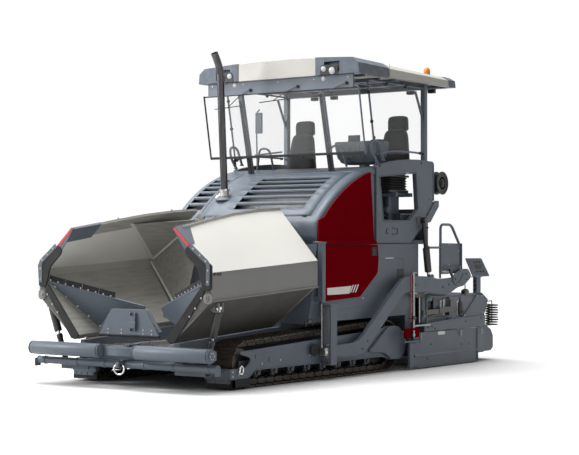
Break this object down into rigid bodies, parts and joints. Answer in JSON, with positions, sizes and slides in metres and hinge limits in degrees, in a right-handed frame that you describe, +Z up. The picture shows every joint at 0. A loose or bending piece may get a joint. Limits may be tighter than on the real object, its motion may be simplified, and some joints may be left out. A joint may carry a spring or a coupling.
{
  "type": "tracked asphalt paver",
  "caption": "Tracked road paver with folding hopper wings, push rollers, arched engine hood, roofed operator station, tow arms, augers and an extending screed",
  "frame": {"origin": "on the ground under the middle of the machine's box", "axes": "+X to the machine's left side, +Y from the hopper to the screed, +Z up"},
  "size_m": [2.66, 6.477, 4.0087],
  "materials": {
    "slate_paint": "satin blue-grey paint",
    "white_paint": "satin off-white paint",
    "red_paint": "glossy dark red paint",
    "dark_paint": "satin black paint",
    "track_steel": "worn brown-black steel",
    "bright_rod": "chromed piston rod",
    "worn_steel": "bare worn steel",
    "black_rubber": "matt black rubber",
    "seat_fabric": "black woven seat cloth",
    "clear_glass": "clear safety glass",
    "grey_plastic": "moulded grey plastic",
    "black_plastic": "moulded black plastic",
    "amber_plastic": "amber beacon dome",
    "lamp_lens": "clear lamp with bright bowl",
    "roof_paint": "satin warm grey roof skin"
  },
  "bodies": {
    "tractor": {"auger_hangers": "slate_paint", "beacon": "amber_plastic", "bumper_tube": "slate_paint", "cab_glass": "clear_glass", "chassis": "slate_paint", "control_console": "grey_plastic", "conveyor_floor": "worn_steel", "deflectors": "black_rubber", "engine_block": "dark_paint", "engine_hood": "slate_paint", "exhaust_pipe": "dark_paint", "handrails": "slate_paint", "hose_reel": "black_plastic", "levelling_guides": "slate_paint", "operator_platform": "slate_paint", "roof_caps": "grey_plastic", "roof_frame": "slate_paint", "roof_panel": "roof_paint", "seat_bases": "dark_paint", "seat_left": "seat_fabric", "seat_right": "seat_fabric", "side_frame_left": "slate_paint", "side_frame_right": "slate_paint", "side_panels": "red_paint", "tow_points": "bright_rod", "track_frame_left": "slate_paint", "track_frame_right": "slate_paint", "track_left": "track_steel", "track_right": "track_steel", "work_lamps": "lamp_lens"},
    "push_beam": {"push_beam": "slate_paint"},
    "push_roller_left": {"push_roller_left": "slate_paint"},
    "push_roller_right": {"push_roller_right": "slate_paint"},
    "wing_left": {"hopper_wing_left": "white_paint", "wing_flap_left": "black_rubber", "wing_apron_left": "slate_paint"},
    "wing_right": {"hopper_wing_right": "white_paint", "wing_flap_right": "black_rubber", "wing_apron_right": "slate_paint"},
    "wing_barrel_left": {"wing_barrel_left": "dark_paint"},
    "wing_barrel_right": {"wing_barrel_right": "dark_paint"},
    "wing_rod_left": {"wing_rod_left": "bright_rod"},
    "wing_rod_right": {"wing_rod_right": "bright_rod"},
    "front_apron": {"front_apron": "slate_paint"},
    "side_door_left": {"side_door_left": "red_paint"},
    "side_door_right": {"side_door_right": "red_paint"},
    "screed": {"tow_arms": "slate_paint", "screed_main": "slate_paint", "screed_guards": "slate_paint"},
    "lift_barrels": {"lift_barrels": "slate_paint"},
    "lift_rods": {"lift_rods": "bright_rod"},
    "extension_left": {"screed_extension_left": "slate_paint", "end_gate_left": "slate_paint", "remote_panel_left": "black_plastic"},
    "extension_right": {"screed_extension_right": "slate_paint", "end_gate_right": "slate_paint", "remote_panel_right": "black_plastic"},
    "auger_left": {"auger_left": "worn_steel"},
    "auger_right": {"auger_right": "worn_steel"}
  },
  "joints": [
    {"name": "push_beam_swivel", "type": "hinge", "parent": "tractor", "child": "push_beam", "pos_m": [0, -2.9805, 0.408], "axis": [0, 0, 1], "range_deg": [-5, 5]},
    {"name": "push_roller_spin_left", "type": "hinge", "parent": "push_beam", "child": "push_roller_left", "pos_m": [0.78, -3.1605, 0.408], "axis": [1, 0, 0], "continuous": true},
    {"name": "wing_fold_left", "type": "hinge", "parent": "tractor", "child": "wing_left", "pos_m": [0.7, -2.2805, 0.59198], "axis": [0, 0.9983, 0.0579], "range_deg": [0, 38]},
    {"name": "wing_barrel_swing_left", "type": "hinge", "parent": "tractor", "child": "wing_barrel_left", "pos_m": [1.02, -2.8955, 0.2], "axis": [0, 0.9983, 0.0579], "range_deg": [0, 30.44]},
    {"name": "wing_rod_stroke_left", "type": "slide", "parent": "wing_barrel_left", "child": "wing_rod_left", "axis": [-0.2913, 0.0554, -0.955], "range_m": [0, 0.3047]},
    {"name": "side_door_swing_left", "type": "hinge", "parent": "tractor", "child": "side_door_left", "pos_m": [1.188, -0.9405, 1.3], "axis": [0, 0, -1], "range_deg": [0, 90]},
    {"name": "extension_slide_left", "type": "slide", "parent": "screed", "child": "extension_left", "axis": [1, 0, 0], "range_m": [0, 1.2]},
    {"name": "auger_spin_left", "type": "hinge", "parent": "tractor", "child": "auger_left", "pos_m": [0.57, 1.1195, 0.43], "axis": [1, 0, 0], "continuous": true},
    {"name": "push_roller_spin_right", "type": "hinge", "parent": "push_beam", "child": "push_roller_right", "pos_m": [-0.78, -3.1605, 0.408], "axis": [1, 0, 0], "continuous": true},
    {"name": "wing_fold_right", "type": "hinge", "parent": "tractor", "child": "wing_right", "pos_m": [-0.7, -2.2805, 0.59198], "axis": [0, -0.9983, -0.0579], "range_deg": [0, 38]},
    {"name": "wing_barrel_swing_right", "type": "hinge", "parent": "tractor", "child": "wing_barrel_right", "pos_m": [-1.02, -2.8955, 0.2], "axis": [0, -0.9983, -0.0579], "range_deg": [0, 30.44]},
    {"name": "wing_rod_stroke_right", "type": "slide", "parent": "wing_barrel_right", "child": "wing_rod_right", "axis": [0.2913, 0.0554, -0.955], "range_m": [0, 0.3047]},
    {"name": "side_door_swing_right", "type": "hinge", "parent": "tractor", "child": "side_door_right", "pos_m": [-1.188, -0.9405, 1.3], "axis": [0, 0, 1], "range_deg": [0, 90]},
    {"name": "extension_slide_right", "type": "slide", "parent": "screed", "child": "extension_right", "axis": [-1, 0, 0], "range_m": [0, 1.2]},
    {"name": "auger_spin_right", "type": "hinge", "parent": "tractor", "child": "auger_right", "pos_m": [-0.57, 1.1195, 0.43], "axis": [1, 0, 0], "continuous": true},
    {"name": "front_apron_tilt", "type": "hinge", "parent": "tractor", "child": "front_apron", "pos_m": [0, -2.9805, 0.575], "axis": [1, 0, 0], "range_deg": [0, 80]},
    {"name": "screed_lift", "type": "hinge", "parent": "tractor", "child": "screed", "pos_m": [0, -0.8555, 0.335], "axis": [1, 0, 0], "range_deg": [0, 7]},
    {"name": "lift_barrel_swing", "type": "hinge", "parent": "tractor", "child": "lift_barrels", "pos_m": [0, 1.3895, 1.9], "axis": [1, 0, 0], "range_deg": [-8.74, 0]},
    {"name": "lift_rod_stroke", "type": "slide", "parent": "lift_barrels", "child": "lift_rods", "axis": [0, -0.1708, 0.9853], "range_m": [0, 0.2994]}
  ],
  "couplings": [
    {"joint": "wing_barrel_swing_left", "follows": "wing_fold_left", "ratio": 0.77472},
    {"joint": "wing_rod_stroke_left", "follows": "wing_fold_left", "m_per_rad": 0.45196},
    {"joint": "wing_barrel_swing_right", "follows": "wing_fold_right", "ratio": 0.77472},
    {"joint": "wing_rod_stroke_right", "follows": "wing_fold_right", "m_per_rad": 0.45196},
    {"joint": "lift_barrel_swing", "follows": "screed_lift", "ratio": -1.1773},
    {"joint": "lift_rod_stroke", "follows": "screed_lift", "m_per_rad": 2.4094}
  ]
}
